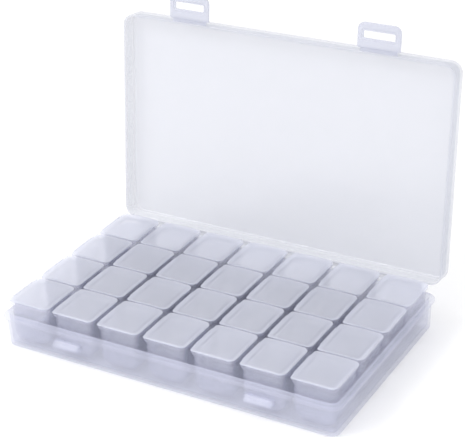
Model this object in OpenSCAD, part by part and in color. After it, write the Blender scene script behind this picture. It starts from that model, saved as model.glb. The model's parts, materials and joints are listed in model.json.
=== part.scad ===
// Bead box with a hinged outer lid and lift-out strips of cups, each cup under a snap lid of its own.
// Origin at the centre of the tray's underside, X along the width, Y to the back, Z up.

/* [Tray] */
// Width of the tray at its floor, left to right
case_w = 175.4; // [173:0.1:200]
// Depth of the tray at its floor, front to back
case_d = 105.4; // [104.5:0.1:130]
// Height of the parting plane, where tray and lid meet
case_h = 16.5; // [14:0.5:24]
// Wall thickness of the tray
case_wall = 1.3; // [1:0.1:1.6]
// Floor thickness of the tray
case_floor = 1.3; // [1:0.1:2]
// Outward lean of the tray walls from floor to rim
case_draft = 0.5; // [0.2:0.1:1]
// Plan radius of the tray's upright corners
case_r = 4; // [3.5:0.5:6]
// Reach of the rim flange beyond the floor outline
flange_reach = 2.05; // [1.8:0.05:3]
// Thickness of the rim flange
flange_t = 2.2; // [1.6:0.1:3]
// Height of the inner lip above the flange
lip_h = 0.8; // [0.4:0.1:1.2]
// Thickness of the inner lip
lip_t = 0.9; // [0.7:0.1:1]

/* [Lid] */
// Height of the lid, from its lower edge to its top face
lid_h = 10; // [9.8:0.1:14]
// Wall thickness of the lid's skirt
lid_wall = 1.2; // [0.9:0.1:1.5]
// Thickness of the lid's top panel
lid_top = 1.2; // [0.8:0.1:1.5]
// Radius of the rounded edge between the skirt and the top panel
lid_edge_r = 1.6; // [1:0.1:2]
// Angle by which the lid stands open at rest
lid_open = 96; // [70:1:110]

/* [Main hinge] */
// Distance of the hinge line behind the lid's rear edge
hinge_back = 1.95; // [1.8:0.05:3]
// Height of the hinge line above the parting plane
hinge_up = 0.7; // [0.6:0.05:1]
// Radius of the bead that runs along the hinge line
hinge_bead_r = 0.7; // [0.65:0.05:0.8]
// Thickness of the hinge leaves
hinge_leaf_t = 0.6; // [0.4:0.05:0.8]
// Length of the hinge leaves
hinge_len = 160; // [80:1:162]

/* [Latches] */
// Distance of each latch from the middle of the front edge
latch_x = 51; // [30:1:65]
// Width of a latch tab
latch_w = 22; // [18:0.5:28]
// Length of a latch tab from its fold line
latch_len = 13; // [12:0.1:13.5]
// Thickness of a latch tab
latch_t = 1.2; // [1:0.1:1.4]
// Corner radius of a latch tab
latch_r = 3.5; // [2:0.5:5]
// Width of the leaf that a latch folds on
latch_root_w = 18.8; // [12:0.2:21]
// Width of the window in a latch
window_w = 16; // [12:0.5:17]
// Height of the window in a latch
window_h = 3.5; // [3.2:0.1:3.8]
// Distance of the window from the fold line
window_at = 5.5; // [5.2:0.1:6]
// Reach of a catch from the front wall
catch_reach = 3.4; // [3:0.1:3.6]

/* [Strips] */
// Number of strips side by side
strip_count = 7; // [7:1:7]
// Number of cups in a strip
cup_count = 4; // [4:1:4]
// Distance from one strip to the next
strip_pitch = 25.1; // [24.3:0.1:25.2]
// Distance from one cup to the next along a strip
cup_pitch = 25.6; // [25.4:0.1:25.7]
// Width of a cup outside its walls
cup_w = 20.8; // [20:0.1:21.4]
// Length of a cup outside its walls
cup_d = 23.6; // [22:0.1:24]
// Wall thickness of a cup
cup_wall = 1; // [0.8:0.1:1.2]
// Plan radius of a cup's upright corners
cup_r = 3; // [2:0.1:4]
// Radius of a cup's long bottom edges
cup_belly_r = 6.5; // [4:0.5:8]
// Radius of a cup's short bottom edges
cup_end_r = 3.5; // [2.5:0.5:5]
// Height of a cup's mouth above the tray's underside
mouth_z = 23; // [21:0.25:23]
// Width of the rim round a cup's mouth
rim_w = 22.4; // [22:0.1:22.6]
// Length of the rim round a cup's mouth
rim_d = 24.8; // [24.2:0.1:25]
// Thickness of the rim round a cup's mouth
rim_t = 1.4; // [1:0.1:1.8]
// Width of the web that joins neighbouring cups
web_w = 12; // [6:0.5:16]
// Thickness of that web
web_t = 0.9; // [0.6:0.1:1.2]

/* [Cup lids] */
// Thickness of a cup lid at its middle
cup_lid_t = 1.7; // [1.4:0.1:1.8]
// Radius of the ball that its gently crowned top is part of
crown_r = 115; // [100:5:200]
// Plan radius of a cup lid's corners at its free edge
cup_lid_r = 3.2; // [2.5:0.1:4]
// Overhang of the finger edge beyond the cup's rim
finger_edge = 0.4; // [0.2:0.1:0.7]
// Depth of the plug under a cup lid
plug_h = 1.8; // [1:0.1:2]
// Wall thickness of the plug
plug_wall = 0.9; // [0.7:0.1:1.1]
// Radius of the bead along a cup lid's hinge line
cup_bead_r = 0.3; // [0.25:0.01:0.32]
// Length of that bead
cup_bead_len = 16; // [10:0.5:18]

/* [Clearances] */
// Gap between parts that move past each other
move_gap = 0.3; // [0.25:0.01:0.35]
// Gap between parts that rest on each other
seat_gap = 0.2; // [0.1:0.01:0.25]

/* [Hidden] */
$fn = 64;

// Colours of clear polypropylene seen against white
shell_color = [0.84, 0.85, 0.93];
panel_color = [0.91, 0.92, 0.97];
strip_color = [0.80, 0.82, 0.92];
cap_color = [0.86, 0.87, 0.95];

// Overlap of shapes that are joined into one piece
join = 0.2;

// Outline that the flange and the lid share
lid_w = case_w + 2 * flange_reach;
lid_d = case_d + 2 * flange_reach;
lid_r = case_r + flange_reach;

// Heights of the tray, and of the lid when it is shut
lid_z0 = case_h + seat_gap;
lid_z1 = lid_z0 + lid_h;

// Main hinge line
hinge_y = lid_d / 2 + hinge_back;
hinge_z = case_h + hinge_up;

// Fold line of the latches, with the lid shut
fold_y = -lid_d / 2 - move_gap - latch_t / 2;
fold_z = lid_z0 + latch_t / 2;
fold_bead_r = 0.35;
fold_leaf_t = 0.5;
latch_start = fold_bead_r + move_gap;

// Catches, placed so that they stand in the windows of the folded latches
catch_w = window_w - 2;
catch_top = fold_z - window_at - move_gap;
catch_bottom = fold_z - window_at - window_h + move_gap + 0.1;
catch_nose = 1;

// Cups
cup_bottom = case_floor + seat_gap;
cup_x0 = -(strip_count - 1) / 2 * strip_pitch;
cup_y0 = -(cup_count - 1) / 2 * cup_pitch;
mouth_w = cup_w - 2 * cup_wall;
mouth_d = cup_d - 2 * cup_wall;

// Cup lids
cup_axis_x = -rim_w / 2 - cup_bead_r;
cup_axis_z = mouth_z + cup_bead_r / 3;
cup_lid_z0 = mouth_z + seat_gap;
cup_lid_x0 = cup_axis_x + cup_bead_r + move_gap;
cup_lid_x1 = rim_w / 2 + finger_edge;
plug_w = mouth_w - 2 * move_gap;
plug_d = mouth_d - 2 * move_gap;

// Rounded rectangle in plan, centred
module rounded(w, d, r) {
    square([w, d - 2 * r], center = true);
    square([w - 2 * r, d], center = true);
    for (sx = [-1, 1], sy = [-1, 1])
        translate([sx * (w / 2 - r), sy * (d / 2 - r)]) circle(r = r);
}

// Sweeps a profile round a rounded rectangle of w by d
// Profile x counts outward from the outline, profile y is height
module sweep_round(w, d, r) {
    for (i = [0:3]) {
        out = (i % 2 == 0 ? w : d) / 2;
        half = (i % 2 == 0 ? d : w) / 2 - r;
        rotate([0, 0, 90 * i]) {
            translate([out, half, 0]) rotate([90, 0, 0]) linear_extrude(2 * half) children();
            translate([out - r, half, 0]) rotate_extrude(angle = 90) translate([r, 0]) children();
        }
    }
}

// Solid with a rounded plan and a rounded underside, standing on z = 0
module tub(w, d, h, plan_r, belly_r, end_r) {
    intersection() {
        linear_extrude(h) rounded(w, d, plan_r);
        rotate([90, 0, 0]) linear_extrude(d + 2, center = true) trough(w, h, belly_r);
        rotate([90, 0, 90]) linear_extrude(w + 2, center = true) trough(d, h, end_r);
    }
}

// Front view of a trough: square shoulders, rounded bottom corners
module trough(w, h, r) {
    translate([-w / 2, r]) square([w, h - r]);
    translate([-w / 2 + r, 0]) square([w - 2 * r, h]);
    for (s = [-1, 1]) translate([s * (w / 2 - r), r]) circle(r = r);
}

// Moves what is drawn on the shut lid to where the lid stands open
module on_open_lid() {
    translate([0, hinge_y, hinge_z]) rotate([-lid_open, 0, 0])
        translate([0, -hinge_y, -hinge_z]) children();
}

// Tray wall in section: rounded foot, leaning wall, inner fillet and lip
module tray_profile() {
    foot_r = 1;
    fillet_r = 1;
    polygon([
        [-case_r, 0], [-foot_r, 0], [-foot_r, foot_r], [0, foot_r],
        [case_draft, case_h - flange_t], [case_draft, case_h],
        [case_draft - case_wall + lip_t, case_h], [case_draft - case_wall + lip_t, case_h + lip_h],
        [case_draft - case_wall, case_h + lip_h], [case_draft - case_wall, case_h - flange_t],
        [-case_wall, case_floor + fillet_r], [-case_wall - fillet_r, case_floor + fillet_r],
        [-case_wall - fillet_r, case_floor], [-case_r, case_floor]
    ]);
    // Foot
    translate([-foot_r, foot_r]) circle(r = foot_r);
    // Fillet between the wall and the floor
    difference() {
        translate([-case_wall - fillet_r, case_floor - join]) square([fillet_r + join, fillet_r + join]);
        translate([-case_wall - fillet_r, case_floor + fillet_r]) circle(r = fillet_r);
    }
    // Flange with a full round edge
    translate([0, case_h - flange_t]) square([flange_reach - flange_t / 2, flange_t]);
    translate([flange_reach - flange_t / 2, case_h - flange_t / 2]) circle(d = flange_t);
}

// Catch on the front wall: sloped above, flat below
module catch() {
    wall_y = case_d / 2;
    rotate([90, 0, 90]) linear_extrude(catch_w, center = true)
        polygon([
            [-wall_y + join, catch_bottom], [-wall_y - catch_reach - case_draft, catch_bottom],
            [-wall_y - catch_reach - case_draft, catch_bottom + catch_nose],
            [-wall_y - catch_reach / 2, catch_top], [-wall_y + join, catch_top]
        ]);
}

module case_base() color(shell_color) {
    sweep_round(case_w, case_d, case_r) tray_profile();
    linear_extrude(case_floor) square([case_w - 2 * case_r, case_d - 2 * case_r], center = true);
    for (s = [-1, 1]) translate([s * latch_x, 0, 0]) catch();
}

// Lid wall in section: skirt, rounded top edge and the border of the top panel
module lid_profile() {
    translate([-lid_wall, lid_z0]) square([lid_wall, lid_h - lid_edge_r]);
    intersection() {
        translate([-lid_edge_r, lid_z1 - lid_edge_r]) square(lid_edge_r);
        difference() {
            translate([-lid_edge_r, lid_z1 - lid_edge_r]) circle(r = lid_edge_r);
            translate([-lid_edge_r, lid_z1 - lid_edge_r]) circle(r = lid_edge_r - lid_top);
        }
    }
    translate([-lid_r, lid_z1 - lid_top]) square([lid_r - lid_edge_r, lid_top]);
}

module case_lid() color(panel_color) on_open_lid() {
    sweep_round(lid_w, lid_d, lid_r) lid_profile();
    translate([0, 0, lid_z1 - lid_top]) linear_extrude(lid_top)
        square([lid_w - 2 * lid_r, lid_d - 2 * lid_r], center = true);
    // Leaves that the latches fold on
    for (s = [-1, 1]) translate([s * latch_x, 0, 0]) {
        translate([-latch_root_w / 2, fold_y, fold_z - fold_leaf_t / 2])
            cube([latch_root_w, -lid_d / 2 - fold_y + join, fold_leaf_t]);
        translate([0, fold_y, fold_z]) rotate([0, 90, 0])
            cylinder(r = fold_bead_r, h = latch_root_w, center = true);
    }
}

// Leaf behind the flange, with a bead standing on its end
module hinge_leaf_base() color(shell_color) {
    rotate([90, 0, 90]) linear_extrude(hinge_len, center = true) {
        translate([lid_d / 2, case_h - hinge_leaf_t]) square([hinge_back, hinge_leaf_t]);
        translate([hinge_y - hinge_bead_r / 2, case_h - hinge_leaf_t])
            square([hinge_bead_r, hinge_up + hinge_leaf_t]);
        translate([hinge_y, hinge_z]) circle(r = hinge_bead_r);
    }
}

// Leaf behind the lid's lower edge
module hinge_leaf_lid() color(panel_color) on_open_lid() {
    leaf_z = lid_z0 + 0.1;
    translate([-hinge_len / 2, lid_d / 2, leaf_z])
        cube([hinge_len, hinge_back - hinge_bead_r - move_gap, hinge_leaf_t]);
}

// Latch tab, lying flat in the plane of the lid's lower edge
module latch(side) color(shell_color) on_open_lid() {
    step = 0.35;
    translate([side * latch_x, fold_y, fold_z]) difference() {
        translate([0, 0, -latch_t / 2]) linear_extrude(latch_t) {
            translate([-latch_w / 2, -latch_len + latch_r]) square([latch_w, latch_len - latch_r - latch_start]);
            translate([-latch_w / 2 + latch_r, -latch_len]) square([latch_w - 2 * latch_r, latch_len - latch_start]);
            for (s = [-1, 1])
                translate([s * (latch_w / 2 - latch_r), -latch_len + latch_r]) circle(r = latch_r);
        }
        translate([-window_w / 2, -window_at - window_h, -latch_t]) cube([window_w, window_h, 2 * latch_t]);
        // Stepped border round the window
        translate([-window_w / 2 - 1, -window_at - window_h - 1, -latch_t / 2 - join])
            cube([window_w + 2, window_h + 2, step + join]);
    }
}

module latch_left() latch(-1);
module latch_right() latch(1);

// One cup with the rim round its mouth, open at the top
module cup() {
    inner_r = max(cup_r - cup_wall, 0.5);
    difference() {
        union() {
            translate([0, 0, cup_bottom])
                tub(cup_w, cup_d, mouth_z - cup_bottom, cup_r, cup_belly_r, cup_end_r);
            translate([0, 0, mouth_z - rim_t]) linear_extrude(rim_t) rounded(rim_w, rim_d, cup_r);
        }
        translate([0, 0, cup_bottom + cup_wall])
            tub(mouth_w, mouth_d, mouth_z, inner_r, cup_belly_r - cup_wall, cup_end_r - cup_wall);
    }
    // Hinge leaf and bead along the left side of the rim
    translate([cup_axis_x, -cup_bead_len / 2, mouth_z - cup_bead_r])
        cube([cup_bead_r + join, cup_bead_len, cup_bead_r]);
    translate([cup_axis_x, 0, cup_axis_z]) rotate([90, 0, 0])
        cylinder(r = cup_bead_r, h = cup_bead_len, center = true);
}

// Strip of cups joined by webs between their rims
module strip(i) color(strip_color) translate([cup_x0 + (i - 1) * strip_pitch, 0, 0]) {
    for (j = [0:cup_count - 1]) translate([0, cup_y0 + j * cup_pitch, 0]) cup();
    gap = cup_pitch - rim_d;
    for (j = [1:cup_count - 1])
        translate([-web_w / 2, cup_y0 + (j - 0.5) * cup_pitch - gap / 2 - join, mouth_z - rim_t + join])
            cube([web_w, gap + 2 * join, web_t]);
}

// Plan of a cup lid: small corners at the hinge, rounder ones at the free edge
module cup_lid_plan() {
    hinge_r = 1.5;
    length = cup_lid_x1 - cup_lid_x0;
    translate([cup_lid_x0 + hinge_r, -rim_d / 2])
        square([length - hinge_r - cup_lid_r, rim_d]);
    translate([cup_lid_x0, -rim_d / 2 + hinge_r]) square([length / 2, rim_d - 2 * hinge_r]);
    translate([cup_lid_x1 - length / 2, -rim_d / 2 + cup_lid_r])
        square([length / 2, rim_d - 2 * cup_lid_r]);
    for (s = [-1, 1]) {
        translate([cup_lid_x0 + hinge_r, s * (rim_d / 2 - hinge_r)]) circle(r = hinge_r);
        translate([cup_lid_x1 - cup_lid_r, s * (rim_d / 2 - cup_lid_r)]) circle(r = cup_lid_r);
    }
}

// Crowned snap lid with a plug that fits the cup's mouth
module cup_lid(i, j) color(cap_color)
    translate([cup_x0 + (i - 1) * strip_pitch, cup_y0 + (j - 1) * cup_pitch, 0]) {
        plug_r = max(cup_r - cup_wall - move_gap, 0.5);
        intersection() {
            translate([0, 0, cup_lid_z0]) linear_extrude(cup_lid_t + 1) cup_lid_plan();
            translate([0, 0, cup_lid_z0 + cup_lid_t - crown_r]) sphere(r = crown_r, $fn = 360);
        }
        translate([0, 0, cup_lid_z0 - plug_h]) linear_extrude(plug_h + join) difference() {
            rounded(plug_w, plug_d, plug_r);
            square([plug_w - 2 * plug_wall, plug_d - 2 * plug_wall], center = true);
        }
    }

case_base();
case_lid();
hinge_leaf_base();
hinge_leaf_lid();
latch_left();
latch_right();
for (i = [1:strip_count]) strip(i);
for (i = [1:strip_count], j = [1:cup_count])
    cup_lid(i, j);
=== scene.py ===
"""Clear bead box: a tray with a hinged outer lid, two latches and seven strips of lidded cups."""
import json
import math

import bmesh
import bpy
from mathutils import Matrix, Vector

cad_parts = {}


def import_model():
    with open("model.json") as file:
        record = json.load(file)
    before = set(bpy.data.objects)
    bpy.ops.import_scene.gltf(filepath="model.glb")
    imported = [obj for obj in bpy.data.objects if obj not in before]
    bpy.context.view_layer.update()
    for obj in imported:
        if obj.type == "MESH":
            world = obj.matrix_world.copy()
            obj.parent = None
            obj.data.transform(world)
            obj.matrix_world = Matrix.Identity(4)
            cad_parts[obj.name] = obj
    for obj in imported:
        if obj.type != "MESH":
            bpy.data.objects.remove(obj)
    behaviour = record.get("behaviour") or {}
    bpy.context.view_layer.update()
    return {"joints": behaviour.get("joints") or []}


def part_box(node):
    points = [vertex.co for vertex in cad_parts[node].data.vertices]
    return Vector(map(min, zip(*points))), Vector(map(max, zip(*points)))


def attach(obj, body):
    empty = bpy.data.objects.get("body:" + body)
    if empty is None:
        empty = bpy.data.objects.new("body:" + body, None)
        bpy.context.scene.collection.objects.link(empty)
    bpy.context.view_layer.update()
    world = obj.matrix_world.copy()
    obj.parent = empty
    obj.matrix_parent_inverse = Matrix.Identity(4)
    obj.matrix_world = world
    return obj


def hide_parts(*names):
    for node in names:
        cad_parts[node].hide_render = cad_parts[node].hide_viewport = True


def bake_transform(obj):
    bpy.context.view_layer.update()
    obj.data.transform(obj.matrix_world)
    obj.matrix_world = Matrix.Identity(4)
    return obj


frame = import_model()

# Shapes are worked out in millimetres and turned into metres when a mesh is made
MM = 0.001

tray_low, tray_high = (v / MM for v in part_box("case_base"))
strip_low, _ = (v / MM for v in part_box("strip_4"))
joints = {j["name"]: j for j in frame["joints"]}

STRIPS = 7
CUPS = 4

# Tray
FLANGE_REACH, FLANGE_T = 2.05, 2.2
CASE_W = tray_high.x - tray_low.x - 2 * FLANGE_REACH
CASE_D = 2 * tray_high.y - 2 * FLANGE_REACH
LIP_H, LIP_T, LIP_R = 0.8, 0.9, 0.25
CASE_H = tray_high.z - LIP_H
CASE_R, CASE_DRAFT, CASE_WALL = 4.0, 0.5, 1.3
FOOT_R, THROAT_R = 1.0, 0.4
FLOOR_T, FLOOR_R = 1.3, 1.0
FLOOR_RING = 12

# Outer lid, as it lies when shut
LID_W = CASE_W + 2 * FLANGE_REACH
LID_D = CASE_D + 2 * FLANGE_REACH
LID_R = CASE_R + FLANGE_REACH
LID_SEAT = 0.2
LID_Z0 = CASE_H + LID_SEAT
LID_H, LID_WALL = 10.0, 1.2
LID_EDGE_R, LID_RIM_R, LID_INNER_R = 1.6, 0.35, 0.5
LID_MID = 5
LID_RING = 14

# Cups, their rims and the webs between them
CUP_W, CUP_D, CUP_R, CUP_WALL = 20.8, 23.6, 3.0, 1.0
BELLY_R, END_R = 6.5, 3.5
CUP_Z0 = strip_low.z
RIM_W, RIM_D, RIM_T, RIM_EDGE_R = 22.4, 24.8, 1.4, 0.35
MOUTH_Z = 23.0
WEB_HALF, WEB_END = 6, 0.4
WEB_DOWN, WEB_DEEP = 0.3, 1.2

# Cup lids
CAP_GAP = 0.2
CAP_BASE = MOUTH_Z + CAP_GAP
CAP_T, CAP_EDGE, CAP_FLAT, CROWN_R = 1.7, 0.9, 0.3, 115.0
CAP_LEFT_IN, FINGER_EDGE = 0.3, 0.4
CAP_LEFT_R, CAP_RIGHT_R = 1.5, 3.2
CAP_HINGE_OUT = 0.3
CAP_WEB_T, CAP_WEB_HALF = 0.25, 8
PLUG_H, PLUG_WALL, PLUG_GAP = 1.8, 0.9, 0.3

# Latches
LATCH_W, LATCH_LEN, LATCH_T, LATCH_R = 22.0, 13.0, 1.2, 3.5
LATCH_ROOT_W, LATCH_ROOT_R, LATCH_EDGE = 18.8, 0.8, 0.3
LATCH_START = 0.65
LATCH_WEB_T = 0.5
WINDOW_W, WINDOW_H, WINDOW_AT, WINDOW_R = 16.0, 3.5, 5.5, 0.6
RECESS_REACH, RECESS_DEEP = 1.0, 0.35
FOLD_GAP = 0.3
FOLD_Y, FOLD_Z = -LID_D / 2 - FOLD_GAP - LATCH_T / 2, LID_Z0 + LATCH_T / 2
CATCH_REACH, CATCH_ROOT = 3.4, 0.3

# Main hinge
HINGE_LEN, HINGE_WEB_T = 160.0, 0.55
LID_HINGE = Vector(joints["lid_hinge"]["pos_m"]) / MM
LID_OPEN = math.radians(joints["lid_hinge"]["range_deg"][0])


def cup_centre(strip, cup):
    """Middle of a cup in plan, from the place of its lid's hinge."""
    pos = Vector(joints[f"cap_{strip}_{cup}_hinge"]["pos_m"]) / MM
    return Vector((pos.x + RIM_W / 2 + CAP_HINGE_OUT, pos.y, 0))


# Mesh tools

CORNER_STEPS = 8
SIDE_STEPS = 6
RIBBON_STEPS = 8
LEAST_R = 0.02
SMOOTH_DEG = 35


def arc(cx, cy, r, start, end, steps):
    """Points of an arc, angles in degrees."""
    points = []
    for k in range(steps + 1):
        a = math.radians(start + (end - start) * k / steps)
        points.append((cx + r * math.cos(a), cy + r * math.sin(a)))
    return points


def outline(x0, x1, y0, y1, r_left, r_right):
    """Points of a rounded rectangle in plan, anticlockwise, always the same count."""
    r_left, r_right = max(r_left, LEAST_R), max(r_right, LEAST_R)
    corners = [
        (x1 - r_right, y1 - r_right, r_right, 0),
        (x0 + r_left, y1 - r_left, r_left, 90),
        (x0 + r_left, y0 + r_left, r_left, 180),
        (x1 - r_right, y0 + r_right, r_right, 270),
    ]
    arcs = [arc(cx, cy, r, start, start + 90, CORNER_STEPS) for cx, cy, r, start in corners]
    points = []
    for i, corner in enumerate(arcs):
        points += corner
        (ax, ay), (bx, by) = corner[-1], arcs[(i + 1) % 4][0]
        for k in range(1, SIDE_STEPS):
            t = k / SIDE_STEPS
            points.append((ax + (bx - ax) * t, ay + (by - ay) * t))
    return points


def ring(w, d, r, inset, z):
    """Rounded rectangle of w by d, drawn in by inset, at height z."""
    hw, hd = w / 2 - inset, d / 2 - inset
    return [(x, y, z) for x, y in outline(-hw, hw, -hd, hd, r - inset, r - inset)]


def moved(rings, centre):
    """The same rings with their middle at centre."""
    return [[(x + centre.x, y + centre.y, z) for x, y, z in row] for row in rings]


def add_loft(bm, rings, closed=False):
    """Joins rings of equal count with quads. Open lofts are capped at both ends."""
    rows = [[bm.verts.new(p) for p in r] for r in rings]
    n = len(rows[0])
    pairs = list(zip(rows, rows[1:]))
    if closed:
        pairs.append((rows[-1], rows[0]))
    for a, b in pairs:
        for i in range(n):
            j = (i + 1) % n
            bm.faces.new((a[i], a[j], b[j], b[i]))
    if not closed:
        bm.faces.new(list(reversed(rows[0])))
        bm.faces.new(rows[-1])


def add_ribbon(bm, path, thickness, place, half_len):
    """Thin web with a given path in section, drawn out by half_len to both sides."""
    section = []
    for side in (1, -1):
        row = []
        for k, p in enumerate(path):
            a = path[max(k - 1, 0)]
            b = path[min(k + 1, len(path) - 1)]
            t = (Vector(b) - Vector(a)).normalized()
            normal = Vector((-t.y, t.x))
            row.append(Vector(p) + normal * side * thickness / 2)
        section += row if side == 1 else list(reversed(row))
    rows = []
    for k in range(RIBBON_STEPS + 1):
        u = -half_len + 2 * half_len * k / RIBBON_STEPS
        rows.append([place(u, s.x, s.y) for s in section])
    add_loft(bm, rows)


def placed(name, data):
    """New object in the scene."""
    obj = bpy.data.objects.new(name, data)
    bpy.context.scene.collection.objects.link(obj)
    return obj


def build(name, bm, material):
    """Turns a bmesh in millimetres into a shaded object in metres."""
    bmesh.ops.recalc_face_normals(bm, faces=bm.faces)
    for v in bm.verts:
        v.co *= MM
    mesh = bpy.data.meshes.new(name)
    bm.to_mesh(mesh)
    bm.free()
    for p in mesh.polygons:
        p.use_smooth = True
    mesh.set_sharp_from_angle(angle=math.radians(SMOOTH_DEG))
    mesh.materials.append(material)
    obj = placed(name, mesh)
    return obj


def opened(point):
    """Where a point of the shut lid lies when the lid stands open as in the photograph."""
    return Matrix.Rotation(LID_OPEN, 4, "X") @ (Vector(point) - LID_HINGE) + LID_HINGE


def stand_open(bm):
    """Turns everything in bm from the shut lid's place to the open one's."""
    to_hinge, from_hinge = Matrix.Translation(-LID_HINGE), Matrix.Translation(LID_HINGE)
    move = from_hinge @ Matrix.Rotation(LID_OPEN, 4, "X") @ to_hinge
    bmesh.ops.transform(bm, matrix=move, verts=bm.verts)


# Materials

PLASTIC_IOR = 1.49
CLOUD_SCALE, CLOUD_DETAIL = 28.0, 3.0
CLOUD_START, CLOUD_END = 0.35, 0.65
POLISH_SCALE, POLISH_DETAIL = 90.0, 2.0
POLISH_LOW, POLISH_HIGH = 0.8, 1.25
RIPPLE_SCALE, RIPPLE_DETAIL = 60.0, 1.0
RIPPLE_STRENGTH, RIPPLE_M = 0.25, 0.0004


def noise(nt, place, scale, detail):
    """Noise in the piece's own coordinates."""
    node = nt.nodes.new("ShaderNodeTexNoise")
    node.inputs["Scale"].default_value = scale
    node.inputs["Detail"].default_value = detail
    nt.links.new(place.outputs["Object"], node.inputs["Vector"])
    return node


def plastic(name, tint, milk, roughness, cloud=0.05):
    """Thin moulded polypropylene: each wall hides a share, milk, of what lies behind it."""
    mat = bpy.data.materials.new(name)
    mat.use_nodes = True
    nt = mat.node_tree
    nt.nodes.clear()
    out = nt.nodes.new("ShaderNodeOutputMaterial")
    bsdf = nt.nodes.new("ShaderNodeBsdfPrincipled")
    nt.links.new(bsdf.outputs["BSDF"], out.inputs["Surface"])
    place = nt.nodes.new("ShaderNodeTexCoord")

    # Slow clouds in the resin, from the melt's flow
    flow = noise(nt, place, CLOUD_SCALE, CLOUD_DETAIL)
    ramp = nt.nodes.new("ShaderNodeValToRGB")
    dark = [c * (1 - cloud) for c in tint]
    ramp.color_ramp.elements[0].position = CLOUD_START
    ramp.color_ramp.elements[0].color = (*dark, 1)
    ramp.color_ramp.elements[1].position = CLOUD_END
    ramp.color_ramp.elements[1].color = (*tint, 1)
    nt.links.new(flow.outputs["Fac"], ramp.inputs["Fac"])
    nt.links.new(ramp.outputs["Color"], bsdf.inputs["Base Color"])

    # Polish that varies a little over the mould
    skin = noise(nt, place, POLISH_SCALE, POLISH_DETAIL)
    polish = nt.nodes.new("ShaderNodeMapRange")
    polish.inputs["To Min"].default_value = roughness * POLISH_LOW
    polish.inputs["To Max"].default_value = roughness * POLISH_HIGH
    nt.links.new(skin.outputs["Fac"], polish.inputs["Value"])
    nt.links.new(polish.outputs["Result"], bsdf.inputs["Roughness"])

    # Faint sink and ripple of a thin moulding
    ripple = noise(nt, place, RIPPLE_SCALE, RIPPLE_DETAIL)
    bump = nt.nodes.new("ShaderNodeBump")
    bump.inputs["Strength"].default_value = RIPPLE_STRENGTH
    bump.inputs["Distance"].default_value = RIPPLE_M
    nt.links.new(ripple.outputs["Fac"], bump.inputs["Height"])
    nt.links.new(bump.outputs["Normal"], bsdf.inputs["Normal"])

    bsdf.inputs["Alpha"].default_value = milk
    bsdf.inputs["IOR"].default_value = PLASTIC_IOR
    return mat


SHELL = plastic("shell_plastic", (0.80, 0.82, 0.98), 0.28, 0.12)
# The panel plastic, also used for the hinge web, is tinted darker than the shell plastic: painted
# shade that holds back the key lamp falling full on the panel.
PANEL = plastic("panel_plastic_painted_shade", (0.64, 0.66, 0.74), 0.35, 0.05, cloud=0.01)
# The latch plastic, used for the tabs and their webs, is tinted darker and made less clear than the
# shell plastic: painted shade that holds back the key lamp, which lights the tabs strongly.
LATCH = plastic("latch_plastic_painted_shade", (0.62, 0.64, 0.76), 0.50, 0.12)
STRIP = plastic("strip_plastic", (0.80, 0.82, 0.98), 0.26, 0.12)
CAP = plastic("cap_plastic", (0.86, 0.88, 0.99), 0.34, 0.10)


# Tray


def tray_section():
    """Outward reach and height of the tray wall, from the underside round to the floor."""
    edge = FLANGE_T / 2
    wall_top = CASE_H - FLANGE_T
    lip_top = CASE_H + LIP_H
    lip_in = CASE_DRAFT - CASE_WALL
    lip_out = lip_in + LIP_T
    out = [(-FLOOR_RING, 0), (-2.2, 0), (-1.2, 0)]
    out += arc(-FOOT_R, FOOT_R, FOOT_R, -90, 0, 6)
    out += [(CASE_DRAFT * 0.5, wall_top * 0.5)]
    out += arc(CASE_DRAFT + THROAT_R, wall_top - THROAT_R, THROAT_R, 180, 90, 4)
    out += arc(FLANGE_REACH - edge, CASE_H - edge, edge, -90, 90, 10)
    out += arc(lip_out + LIP_R, CASE_H + LIP_R, LIP_R, 270, 180, 3)
    out += arc(lip_out - LIP_R, lip_top - LIP_R, LIP_R, 0, 90, 4)
    out += arc(lip_in + LIP_R, lip_top - LIP_R, LIP_R, 90, 180, 4)
    out += [(lip_in, wall_top), (-CASE_WALL + 0.2, wall_top * 0.5)]
    out += arc(-CASE_WALL - FLOOR_R, FLOOR_T + FLOOR_R, FLOOR_R, 0, -90, 5)
    out += [(-3.2, FLOOR_T), (-FLOOR_RING, FLOOR_T)]
    return out


def add_catch(bm, x):
    """Catch on the front wall: sloped above, flat below, with rounded ends."""
    half = WINDOW_W / 2 - 1
    top = FOLD_Z - WINDOW_AT - 0.3
    bottom = FOLD_Z - WINDOW_AT - WINDOW_H + 0.4
    mid = (top + bottom) / 2
    wall = -CASE_D / 2
    nose = wall - CATCH_REACH - CASE_DRAFT
    section = [
        (wall - 0.35, bottom), (wall - CATCH_ROOT, top), (wall - CATCH_REACH * 0.5, top),
        (nose + 0.3, bottom + 1.15), (nose + 0.05, bottom + 0.95), (nose, bottom + 0.8),
        (nose, bottom + 0.25), (nose + 0.07, bottom + 0.07), (nose + 0.25, bottom),
    ]
    # Distance from the middle and size of the section there
    stations = [
        (-half, 0.86), (-half + 0.12, 0.95), (-half + 0.4, 1), (-half + 2, 1),
        (half - 2, 1), (half - 0.4, 1), (half - 0.12, 0.95), (half, 0.86),
    ]
    rows = []
    for u, scale in stations:
        row = []
        for y, z in section:
            out = (y - wall + CATCH_ROOT) * scale
            row.append((x + u, wall - CATCH_ROOT + out, mid + (z - mid) * scale))
        rows.append(row)
    add_loft(bm, rows)


def tray():
    """Tray with its flange, inner lip and two catches."""
    bm = bmesh.new()
    add_loft(bm, [ring(CASE_W, CASE_D, CASE_R, -x, z) for x, z in tray_section()])
    for name in ("left", "right"):
        add_catch(bm, joints[f"{name}_latch_fold"]["pos_m"][0] / MM)
    obj = build("tray_shell", bm, SHELL)
    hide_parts("case_base")
    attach(obj, "tray")


# Outer lid


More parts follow.
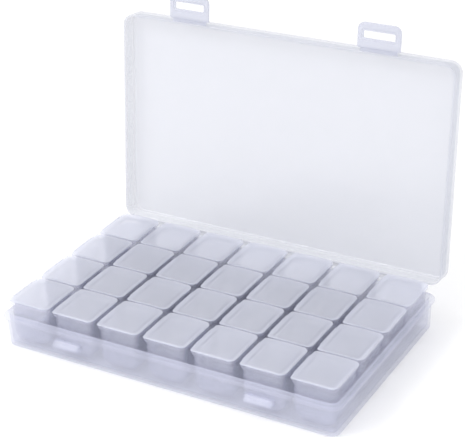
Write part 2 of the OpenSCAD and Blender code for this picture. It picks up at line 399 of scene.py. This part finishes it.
def lid_section():
    """Outward reach and height of the shut lid, from the panel's top round to its underside."""
    top = LID_Z0 + LID_H
    under = top - LID_WALL
    r, rim = LID_EDGE_R, LID_RIM_R
    out = [(-LID_RING, top), (-3.2, top)]
    out += arc(-r, top - r, r, 90, 0, 8)
    out += [(0, top - LID_MID)]
    out += arc(-rim, LID_Z0 + rim, rim, 0, -90, 4)
    out += arc(-LID_WALL + rim, LID_Z0 + rim, rim, -90, -180, 4)
    out += [(-LID_WALL, top - LID_MID)]
    out += arc(-LID_WALL - LID_INNER_R, under - LID_INNER_R, LID_INNER_R, 0, 90, 4)
    out += [(-3.6, under), (-LID_RING, under)]
    return out


def outer_lid():
    """Shallow lid with its flat panel, standing open."""
    bm = bmesh.new()
    add_loft(bm, [ring(LID_W, LID_D, LID_R, -x, z) for x, z in lid_section()])
    stand_open(bm)
    obj = build("outer_lid_shell", bm, PANEL)
    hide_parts("case_lid")
    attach(obj, "lid")


# Latches


def latch(name):
    """Tab with a window and a recess, and the thin web that it folds on."""
    x = joints[f"{name}_latch_fold"]["pos_m"][0] / MM
    half_t, edge = LATCH_T / 2, LATCH_EDGE

    def level(plan, z):
        # The outline's left and right corners become the tab's far and near corners
        return [(x + py, FOLD_Y + px, FOLD_Z + z) for px, py in plan]

    def outer(inset, z):
        plan = outline(-LATCH_LEN + inset, -LATCH_START - inset,
                       -LATCH_W / 2 + inset, LATCH_W / 2 - inset,
                       LATCH_R - inset, LATCH_ROOT_R - inset)
        return level(plan, z)

    def window(grow, z):
        plan = outline(-WINDOW_AT - WINDOW_H - grow, -WINDOW_AT + grow,
                       -WINDOW_W / 2 - grow, WINDOW_W / 2 + grow,
                       WINDOW_R + grow, WINDOW_R + grow)
        return level(plan, z)

    bm = bmesh.new()
    recess_z = -half_t + RECESS_DEEP
    rings = [
        outer(edge, half_t), outer(edge * 0.3, half_t - edge * 0.3), outer(0, half_t - edge),
        outer(0, -half_t + edge), outer(edge * 0.3, -half_t + edge * 0.3), outer(edge, -half_t),
        window(1.15, -half_t), window(RECESS_REACH, -half_t + 0.12), window(RECESS_REACH, recess_z),
        window(0.12, recess_z), window(0, recess_z + 0.1),
        window(0, half_t - 0.15), window(0.15, half_t),
    ]
    add_loft(bm, rings, closed=True)
    stand_open(bm)
    obj = build(f"latch_tab_{name}", bm, LATCH)
    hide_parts(f"latch_{name}")
    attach(obj, f"{name}_latch")

    bm = bmesh.new()
    lid_front = -LID_D / 2
    path = [(lid_front + 0.05, FOLD_Z), (lid_front - FOLD_GAP, FOLD_Z), (FOLD_Y, FOLD_Z),
            (FOLD_Y - 0.3, FOLD_Z), (FOLD_Y - LATCH_START - 0.05, FOLD_Z)]
    add_ribbon(bm, path, LATCH_WEB_T, lambda u, s, t: (x + u, s, t), LATCH_ROOT_W / 2)
    stand_open(bm)
    web = build(f"latch_web_{name}", bm, LATCH)
    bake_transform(web)


# Main hinge

BEND_STEPS = 10


def main_hinge():
    """One thin web from the tray's flange to the lid's lower edge, bent where the lid stands."""
    lid_edge = opened((0, LID_D / 2, LID_Z0 + 0.5))
    start = Vector((LID_D / 2 - 0.1, CASE_H - 0.4))
    end = Vector((lid_edge.y, lid_edge.z))
    bend = Vector((LID_HINGE.y + 0.7, CASE_H - 0.2))
    path = []
    for k in range(BEND_STEPS + 1):
        t = k / BEND_STEPS
        path.append(start * (1 - t) ** 2 + bend * 2 * t * (1 - t) + end * t ** 2)
    bm = bmesh.new()
    add_ribbon(bm, path, HINGE_WEB_T, lambda u, s, t: (u, s, t), HINGE_LEN / 2)
    web = build("hinge_web", bm, PANEL)
    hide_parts("hinge_leaf_base", "hinge_leaf_lid")
    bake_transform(web)


# Strips

BELLY_DEG = (0, 4, 12, 20, 30, 40, 50, 60, 70, 80, 90)
FLOOR_SHARE = (0.8, 0.93)


def tub_rings(w, d, r, belly, end, z0, z1, grow_up=True):
    """Rings of a tub, floor to mouth, whose long and short bottom edges have their own radii."""
    rings = []
    for h in [belly * (1 - math.cos(math.radians(a))) for a in BELLY_DEG]:
        hw = w / 2 - (belly - math.sqrt(max(belly ** 2 - (belly - h) ** 2, 0)))
        drop = max(end - h, 0)
        hd = d / 2 - (end - math.sqrt(max(end ** 2 - drop ** 2, 0)))
        rings.append([(x, y, z0 + h) for x, y in outline(-hw, hw, -hd, hd, r, r)])
    # A smaller ring on the floor keeps its edge from shading across the middle
    rings.insert(0, [(x * FLOOR_SHARE[0], y * FLOOR_SHARE[1], z0) for x, y, _ in rings[0]])
    rings.append(ring(w, d, r, 0, z1))
    return rings if grow_up else list(reversed(rings))


def cup_rings():
    """One cup as a closed skin: outside up, over the rim, and down the inside."""
    edge = RIM_EDGE_R
    rim_low = MOUTH_Z - RIM_T
    rings = tub_rings(CUP_W, CUP_D, CUP_R, BELLY_R, END_R, CUP_Z0, rim_low - 0.4)
    for inset, z in ((-0.12, rim_low - 0.12), (-0.3, rim_low)):
        rings.append(ring(CUP_W, CUP_D, CUP_R, inset, z))
    outside = arc(-edge, rim_low + edge, edge, -90, 0, 4)
    outside += arc(-edge, MOUTH_Z - edge, edge, 0, 90, 4)
    rings += [ring(RIM_W, RIM_D, CUP_R, -x, z) for x, z in outside]
    mouth_w, mouth_d, mouth_r = CUP_W - 2 * CUP_WALL, CUP_D - 2 * CUP_WALL, CUP_R - CUP_WALL
    for x, z in arc(-edge, MOUTH_Z - edge, edge, 90, 0, 4):
        rings.append(ring(mouth_w, mouth_d, mouth_r, x, z))
    rings += tub_rings(mouth_w, mouth_d, mouth_r, BELLY_R - CUP_WALL, END_R - CUP_WALL,
                       CUP_Z0 + CUP_WALL, MOUTH_Z - 2.5, grow_up=False)
    return rings


def add_web(bm, a, b):
    """Web between the rims of two neighbouring cups, thinner at its ends."""
    mid = (a + b) / 2
    gap = (b.y - a.y - RIM_D) / 2
    top, bottom = MOUTH_Z - WEB_DOWN, MOUTH_Z - WEB_DEEP
    z = (top + bottom) / 2
    rows = []
    for u in (-WEB_HALF, -WEB_HALF + WEB_END, WEB_HALF - WEB_END, WEB_HALF):
        h = (top - bottom) / 2 * (0.6 if abs(u) == WEB_HALF else 1)
        rows.append([(mid.x + u, mid.y - gap, z - h), (mid.x + u, mid.y + gap, z - h),
                     (mid.x + u, mid.y + gap, z + h), (mid.x + u, mid.y - gap, z + h)])
    add_loft(bm, rows)


def strip(i):
    """Four cups joined by webs."""
    bm = bmesh.new()
    centres = [cup_centre(i, j) for j in range(1, CUPS + 1)]
    for c in centres:
        add_loft(bm, moved(cup_rings(), c))
    for a, b in zip(centres, centres[1:]):
        add_web(bm, a, b)
    obj = build(f"cup_strip_{i}", bm, STRIP)
    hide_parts(f"strip_{i}")
    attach(obj, f"strip_body_{i}")


# Cup lids

CROWN_INSETS = (9.5, 7, 5, 3.4, 2.2, 1.5)
EDGE_STEPS = 6


def cap_outline(inset):
    """Plan of a cup lid, drawn in by inset."""
    x0, x1 = -RIM_W / 2 + CAP_LEFT_IN, RIM_W / 2 + FINGER_EDGE
    return outline(x0 + inset, x1 - inset, -RIM_D / 2 + inset, RIM_D / 2 - inset,
                   CAP_LEFT_R - inset, CAP_RIGHT_R - inset)


def crown(x, y):
    """Height of the gently domed top over a point in plan."""
    return CAP_BASE + CAP_T - (CROWN_R - math.sqrt(CROWN_R ** 2 - x * x - y * y))


def cap_rings():
    """Cup lid as a closed skin: crowned top, round edge, underside and plug."""
    rings = []
    for inset in CROWN_INSETS:
        rings.append([(x, y, crown(x, y)) for x, y in cap_outline(inset)])
    for k in range(EDGE_STEPS + 1):
        a = math.radians(90 - 90 / EDGE_STEPS * k)
        row = []
        for x, y in cap_outline(CAP_EDGE * (1 - math.cos(a))):
            # The edge is lower where the crown leaves it thin, at the corners
            high = min(CAP_EDGE, crown(x, y) - CAP_BASE - CAP_FLAT)
            row.append((x, y, crown(x, y) - high * (1 - math.sin(a))))
        rings.append(row)
    under = [(0, CAP_BASE + 0.2), (0.06, CAP_BASE + 0.06), (0.2, CAP_BASE), (0.8, CAP_BASE)]
    for inset, z in under:
        rings.append([(x, y, z) for x, y in cap_outline(inset)])

    plug_w = CUP_W - 2 * CUP_WALL - 2 * PLUG_GAP
    plug_d = CUP_D - 2 * CUP_WALL - 2 * PLUG_GAP
    plug_r = CUP_R - CUP_WALL - PLUG_GAP
    low, wall = CAP_BASE - PLUG_H, PLUG_WALL
    plug = [
        (-0.15, CAP_BASE), (0, CAP_BASE - 0.15), (0, low + 0.3), (0.08, low + 0.08), (0.3, low),
        (wall - 0.3, low), (wall - 0.08, low + 0.08), (wall, low + 0.3),
        (wall, CAP_BASE - 0.2), (wall + 0.2, CAP_BASE), (wall + 1, CAP_BASE), (7, CAP_BASE),
    ]
    rings += [ring(plug_w, plug_d, plug_r, inset, z) for inset, z in plug]
    return rings


def cup_lid(i, j):
    """Snap lid of one cup, and its living hinge along the left edge."""
    c = cup_centre(i, j)
    bm = bmesh.new()
    add_loft(bm, moved(cap_rings(), c))
    obj = build(f"snap_lid_{i}_{j}", bm, CAP)
    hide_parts(f"cup_lid_{i}_{j}")
    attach(obj, f"cap_{i}_{j}")

    bm = bmesh.new()
    x0 = c.x - RIM_W / 2
    path = [(x0 + 0.02, MOUTH_Z - 0.35), (x0 - 0.22, MOUTH_Z - 0.2), (x0 - 0.3, MOUTH_Z + 0.1),
            (x0 - 0.15, MOUTH_Z + 0.4), (x0 + 0.32, MOUTH_Z + 0.5)]
    add_ribbon(bm, path, CAP_WEB_T, lambda u, s, t: (s, c.y + u, t), CAP_WEB_HALF)
    web = build(f"snap_lid_web_{i}_{j}", bm, CAP)
    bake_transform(web)


# Stage, light and camera, in metres

FLOOR_SIZE, FLOOR_DROP = 4.0, 0.0002
FLOOR_COLOUR, FLOOR_ROUGH, FLOOR_GLOW = (0.86, 0.86, 0.87, 1), 0.9, 0.14
WORLD_STRENGTH = 0.95
WHITE = (1, 1, 1, 1)
LAMP_TARGET = (0, 0, 0.02)
FOCAL_PX, IMAGE_W, SENSOR = 1500.0, 465, 36.0
CAMERA_PLACE = (0.3213, -0.528, 0.3777)
CAMERA_TURN = (30.574, 27.034, -2.357)
CLIP_NEAR, CLIP_FAR = 0.01, 50


def math_node(nt, operation, first, second):
    """Math node of two values, each an output or a number."""
    node = nt.nodes.new("ShaderNodeMath")
    node.operation = operation
    for socket, value in zip(node.inputs, (first, second)):
        if isinstance(value, float):
            socket.default_value = value
        else:
            nt.links.new(value, socket)
    return node.outputs[0]


def stage():
    """Plain pale floor that reads as white and keeps a soft shadow."""
    bm = bmesh.new()
    bmesh.ops.create_grid(bm, x_segments=1, y_segments=1, size=FLOOR_SIZE)
    mesh = bpy.data.meshes.new("floor")
    bm.to_mesh(mesh)
    bm.free()
    floor = placed("floor", mesh)
    mat = bpy.data.materials.new("floor_white")
    mat.use_nodes = True
    nt = mat.node_tree
    bsdf = nt.nodes["Principled BSDF"]
    bsdf.inputs["Base Color"].default_value = FLOOR_COLOUR
    bsdf.inputs["Roughness"].default_value = FLOOR_ROUGH
    bsdf.inputs["Specular IOR Level"].default_value = 0.0
    bsdf.inputs["Emission Color"].default_value = WHITE
    # The glow is seen only by the camera, in reflections and through clear pieces
    ray = nt.nodes.new("ShaderNodeLightPath").outputs
    through = math_node(nt, "MAXIMUM", ray["Is Glossy Ray"], ray["Is Transmission Ray"])
    seen = math_node(nt, "MAXIMUM", ray["Is Camera Ray"], through)
    glow = math_node(nt, "MULTIPLY", seen, FLOOR_GLOW)
    nt.links.new(glow, bsdf.inputs["Emission Strength"])
    mesh.materials.append(mat)
    floor.location.z = -FLOOR_DROP


def world():
    """Plain white surround that lights the box evenly."""
    w = bpy.data.worlds.new("studio")
    bpy.context.scene.world = w
    w.use_nodes = True
    back = w.node_tree.nodes["Background"]
    back.inputs["Color"].default_value = WHITE
    back.inputs["Strength"].default_value = WORLD_STRENGTH


def softbox(name, location, size, power):
    """Rectangular lamp that looks at the box, power in watts."""
    light = bpy.data.lights.new(name, "AREA")
    light.shape = "RECTANGLE"
    light.size, light.size_y = size
    light.energy = power
    obj = placed(name, light)
    obj.location = location
    obj.rotation_mode = "QUATERNION"
    aim = Vector(LAMP_TARGET) - Vector(location)
    obj.rotation_quaternion = aim.to_track_quat("-Z", "Y")


def camera():
    """The photograph's viewpoint, from a fit of the box's corners and edges."""
    yaw, pitch, roll = (math.radians(a) for a in CAMERA_TURN)
    look = Vector((-math.sin(yaw) * math.cos(pitch), math.cos(yaw) * math.cos(pitch),
                   -math.sin(pitch)))
    right = look.cross(Vector((0, 0, 1))).normalized()
    up = right.cross(look)
    side = right * math.cos(roll) + up * math.sin(roll)
    top = up * math.cos(roll) - right * math.sin(roll)
    data = bpy.data.cameras.new("camera")
    data.sensor_width = SENSOR
    data.lens = FOCAL_PX / IMAGE_W * SENSOR
    data.clip_start, data.clip_end = CLIP_NEAR, CLIP_FAR
    obj = placed("camera", data)
    turn = Matrix((side, top, -look)).transposed().to_4x4()
    obj.matrix_world = Matrix.Translation(CAMERA_PLACE) @ turn
    bpy.context.scene.camera = obj


tray()
outer_lid()
latch("left")
latch("right")
main_hinge()
for n in range(1, STRIPS + 1):
    strip(n)
    for m in range(1, CUPS + 1):
        cup_lid(n, m)
stage()
world()
softbox("key", (-0.56, -0.68, 0.93), (0.5, 0.38), 5)
softbox("fill", (0.9, -0.5, 0.9), (0.8, 0.6), 1.2)
camera()
bpy.context.scene.view_settings.view_transform = "Standard"
